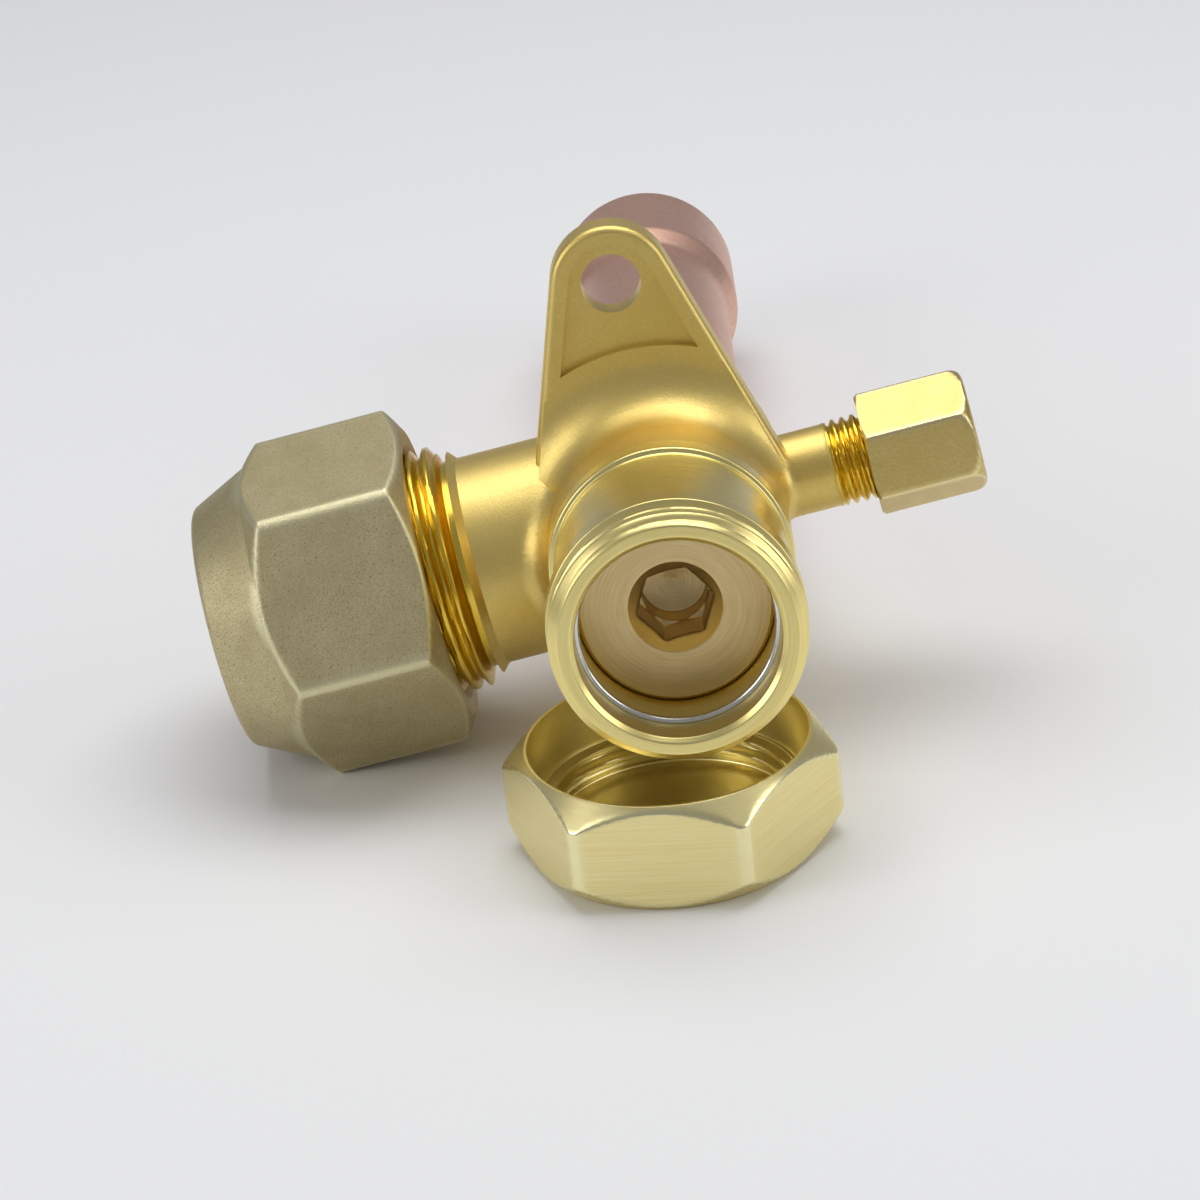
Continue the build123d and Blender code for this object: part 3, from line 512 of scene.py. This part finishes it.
hexagon = hexagon[None] + 0 * place
radius = np.where(socket & (stemProfile[:, 1:2] > 4.05), softMax(cone, hexagon, 0.1), radius)
stem = turnedPiece("stem", centre + front * facePlace, front, chargeWay, place, radius, turns, False)
finishPiece(stem, "stem", "stem_brass", stemBrass, "valve_stem")

# flare nut

# edgeWidth is how far a painted edge highlight reaches to each side, edgeGain makes its middle even, and
# the corner share sets how strong the painted highlight on a rounded corner is
nutSize = {"apothem": 18.85, "corner": 1.4, "turn": radians(18.6), "softness": 0.5, "edgeWidth": 0.45,
           "edgeGain": 1.3, "cornerHighlight": 0.8}
turns = hexagonTurns(nutSize["apothem"], nutSize["corner"])
nutProfile = roundedPath([
    (29.9, 18.6, 0.35), (31.8, 21.77, 0), (48.2, 21.77, 0), (50.4, 19.0, 0.5), (57.9, 15.4, 1.2),
    (57.9, 11.3, 0.3), (48.755, 11.3, 0.2), (44.35, 15.71, 0.2), (30.7, 15.71, 0.1),
    (29.9, 16.51, 0.1)], closed=True, step=0.3)
place = nutProfile[:, 0:1]
profileRadius = nutProfile[:, 1:2] + 0 * turns[None]
hexagon = hexagonRadius(turns, nutSize["apothem"], nutSize["corner"])[None] + 0 * place
outer = profileRadius > 18.0
radius = np.where(outer, softMin(profileRadius, hexagon, nutSize["softness"]), profileRadius)
nutSide = cos(nutSize["turn"]) * earWay + sin(nutSize["turn"]) * np.cross(flareWay, earWay)
nutSide = cos(pi / 6) * nutSide + sin(pi / 6) * np.cross(flareWay, nutSide)
nutEdgeHighlight = np.clip(nutSize["edgeGain"] - np.abs(profileRadius - hexagon) / nutSize["edgeWidth"], 0, 1)
corners = cornerShare(turns, nutSize["apothem"], nutSize["corner"]) * nutSize["cornerHighlight"]
nutEdgeHighlight = np.maximum(nutEdgeHighlight, (profileRadius > hexagon) * corners) * outer
nut = turnedPiece("flare_nut_shell", centre, flareWay, nutSide, place, radius, turns, True, edge=nutEdgeHighlight)
finishPiece(nut, "nut", "nut_brass", nutBrass, "flare_nut")

print("stem and flare nut built")

# charging cap

chargeCapSize = {"apothem": 7.05, "corner": 0.35, "turn": radians(-2.0), "softness": 0.25,
                 "edgeWidth": 0.2, "edgeGain": 1.2}
turns = hexagonTurns(chargeCapSize["apothem"], chargeCapSize["corner"], 12, 5)
chargeCapProfile = roundedPath([
    (38.65, 0, 0), (38.65, 5.61, 0.1), (26.2, 5.61, 0.15), (26.2, 7.5, 0.1), (26.57, 8.14, 0),
    (35.8, 8.14, 0), (40.0, 8.14, 4.15), (40.0, 0, 0)], step=0.2)
place = chargeCapProfile[:, 0:1]
profileRadius = chargeCapProfile[:, 1:2] + 0 * turns[None]
hexagon = hexagonRadius(turns, chargeCapSize["apothem"], chargeCapSize["corner"])[None] + 0 * place
outer = (profileRadius > 5.9) & (place > 26.21)
radius = np.where(outer, softMin(profileRadius, hexagon, chargeCapSize["softness"]), profileRadius)
capSide = cos(chargeCapSize["turn"]) * earWay + sin(chargeCapSize["turn"]) * np.cross(chargeWay, earWay)
capSide = cos(pi / 6) * capSide + sin(pi / 6) * np.cross(chargeWay, capSide)
# painted highlight along the cap's rounded edges and corners, kept as the edge mask
capEdgeHighlight = np.abs(profileRadius - hexagon) / chargeCapSize["edgeWidth"]
capEdgeHighlight = np.clip(chargeCapSize["edgeGain"] - capEdgeHighlight, 0, 1)
corners = cornerShare(turns, chargeCapSize["apothem"], chargeCapSize["corner"])
capEdgeHighlight = np.maximum(capEdgeHighlight, (profileRadius > hexagon) * corners) * outer
chargeCap = turnedPiece("charge_cap_shell", chargeCentre, chargeWay, capSide, place, radius, turns, False,
                        edge=capEdgeHighlight)
finishPiece(chargeCap, "port_cap", "port_cap_brass", portCapBrass, "charge_cap")

# stem cap

stemCapSize = {"apothem": 18.0, "corner": 1.8, "turn": radians(23), "softness": 0.35, "floor": 2.9,
               "ledge": 7.0, "threadPitch": 2.0, "threadMajor": 15.56, "threadDepth": 1.08,
               "edgeWidth": 0.25, "edgeGain": 1.2, "cornerHighlight": 0.7}
turns = hexagonTurns(stemCapSize["apothem"], stemCapSize["corner"])
capProfile = roundedPath([
    (0, 0, 0), (0, 17.2, 0.4), (3.58, 20.78, 0), (10.67, 20.78, 0), (14.0, 17.45, 0.12),
    (14.0, 17.05, 0.12), (7.0, 15.95, 0.1), (6.9, 15.0, 0.15), (2.6, 15.0, 0.4), (2.6, 0, 0)], step=0.16)
place = capProfile[:, 0:1]
profileRadius = capProfile[:, 1:2] + 0 * turns[None]
hexagon = hexagonRadius(turns, stemCapSize["apothem"], stemCapSize["corner"])[None] + 0 * place
climb = np.gradient(capProfile[:, 0])[:, None]
outer = (profileRadius > 17.0) & (climb >= 0) & (place > 0.01) & (place < 13.95)
radius = np.where(outer, softMin(profileRadius, hexagon, stemCapSize["softness"]), profileRadius)
inner = (profileRadius < 15.9) & (profileRadius > 14.5)
inner = inner & (place > stemCapSize["floor"]) & (place < stemCapSize["ledge"])
threadDepth = threadShare(place, turns[None], stemCapSize["threadPitch"])
fade = np.clip((place - stemCapSize["floor"]) / 0.6, 0, 1)  # the thread runs out above the floor
crest = (1 - threadDepth) * stemCapSize["threadDepth"] * fade
radius = np.where(inner, stemCapSize["threadMajor"] - crest, radius)
# painted highlight along the stem cap's rounded edges and corners, kept as the edge mask
stemCapEdgeHighlight = np.abs(profileRadius - hexagon) / stemCapSize["edgeWidth"]
stemCapEdgeHighlight = np.clip(stemCapSize["edgeGain"] - stemCapEdgeHighlight, 0, 1) * outer
corners = cornerShare(turns, stemCapSize["apothem"], stemCapSize["corner"]) * stemCapSize["cornerHighlight"]
stemCapEdgeHighlight = np.maximum(stemCapEdgeHighlight, (profileRadius > hexagon) * corners * outer)
stemCapSide = cos(stemCapSize["turn"]) * east + sin(stemCapSize["turn"]) * np.cross(up, east)
stemCap = turnedPiece("stem_cap_shell", np.zeros(3), up, stemCapSide, place, radius, turns, False,
                      edge=stemCapEdgeHighlight)
finishPiece(stemCap, "valve", "turned_brass", capBrass, "stem_cap")

print("caps built")

# tube

turns = np.linspace(0, 2 * pi, 128, endpoint=False)
tubeProfile = roundedPath([
    (-71.05, 9.6, 0), (-71.05, 11.1, 0), (-140.0, 11.1, 2.5), (-143.5, 12.7, 2.5), (-164.0, 12.7, 1.2),
    (-164.0, 11.2, 0.3), (-143.5, 11.2, 1.0), (-140.0, 9.6, 1.0)], closed=True, step=1.5)
tube = turnedPiece("tube", centre + front * facePlace, front, chargeWay, tubeProfile[:, 0:1],
                   tubeProfile[:, 1:2] + 0 * turns[None], turns, True)
finishPiece(tube, "valve", "copper", copper, "copper_tube")

ring = smoothCopy("wire_ring", "retaining_ring")
finishPiece(ring, "valve", "spring_steel", springSteel, "retaining_ring")
print("tube and wire ring built")

hidden = {
    "stem_o_ring_front": blackRubber, "stem_o_ring_rear": blackRubber, "braze_ring": silverBraze,
    "flare_bonnet": copper, "charge_cap_seal": blackRubber, "core_plug": capBrass, "core_barrel": capBrass,
    "core_gasket": whitePtfe, "core_pin": capBrass, "core_cup": capBrass, "core_cup_seal": blackRubber,
    "core_spring": springSteel,
}
for name, material in hidden.items():
    nodes[name].data.materials.clear()
    nodes[name].data.materials.append(material)

# floor, light and camera

def stagePlane(name, points, colour, roughness):
    # one flat face through the points, kept off the part
    mesh = bpy.data.meshes.new(name)
    mesh.from_pydata(points, [], [list(range(len(points)))])
    piece = bpy.data.objects.new(name, mesh)
    bpy.context.scene.collection.objects.link(piece)
    material = bpy.data.materials.new(name)
    material.use_nodes = True
    shader = material.node_tree.nodes["Principled BSDF"]
    shader.inputs["Base Color"].default_value = (*colour, 1)
    shader.inputs["Roughness"].default_value = roughness
    mesh.materials.append(material)


stagePlane("floor", [(-4, -4, 0), (4, -4, 0), (4, 4, 0), (-4, 4, 0)], (0.86, 0.86, 0.86), 0.6)

scene = bpy.context.scene
world = bpy.data.worlds.new("room") if scene.world is None else scene.world
scene.world = world
world.use_nodes = True
world.node_tree.nodes["Background"].inputs["Color"].default_value = (0.92, 0.94, 1.0, 1)
world.node_tree.nodes["Background"].inputs["Strength"].default_value = 0.30


def areaLight(name, place, aim, size, power):
    # rectangle at place whose -Z looks along aim minus place
    lamp = bpy.data.lights.new(name, "AREA")
    lamp.shape = "RECTANGLE"
    lamp.size, lamp.size_y = size
    lamp.energy = power
    holder = bpy.data.objects.new(name, lamp)
    holder.location = place
    holder.rotation_euler = (Vector(aim) - Vector(place)).to_track_quat("-Z", "Y").to_euler()
    scene.collection.objects.link(holder)


# place, aim, size in metres, and watts
lamps = {
    "top": ((0.05, 0.15, 0.65), (0, 0.02, 0.02), (0.7, 0.5), 2.9),
    "left": ((-0.6, -0.25, 0.35), (0, 0.02, 0.03), (0.4, 0.4), 1.2),
    "right": ((0.6, -0.2, 0.3), (0, 0.02, 0.03), (0.35, 0.4), 0.9),
}
for name, (place, aim, size, power) in lamps.items():
    areaLight(name, place, aim, size, power)

# angles in radians, distances in metres, lens and sensor in millimetres
view = {"lens": 144.357, "sensor": 36, "distance": 0.57085, "tilt": 0.45373, "heading": -0.02286,
        "bank": 0.11136, "target": (-0.00623, 0, 0.03310)}
tilt, heading = view["tilt"], view["heading"]
forward = Vector((sin(heading) * cos(tilt), cos(heading) * cos(tilt), -sin(tilt)))
right = Vector((cos(heading), -sin(heading), 0))
upward = right.cross(forward)
roll = Matrix.Rotation(view["bank"], 3, forward)
right, upward = roll @ right, roll @ upward
camera = bpy.data.cameras.new("camera")
camera.sensor_width = view["sensor"]
camera.lens = view["lens"]
camera.clip_start = 0.01
eye = bpy.data.objects.new("camera", camera)
turnMatrix = Matrix((right, upward, -forward)).transposed().to_4x4()
eye.matrix_world = Matrix.Translation(Vector(view["target"]) - forward * view["distance"]) @ turnMatrix
scene.collection.objects.link(eye)
scene.camera = eye
scene.view_settings.view_transform = "Standard"
print("stage ready")
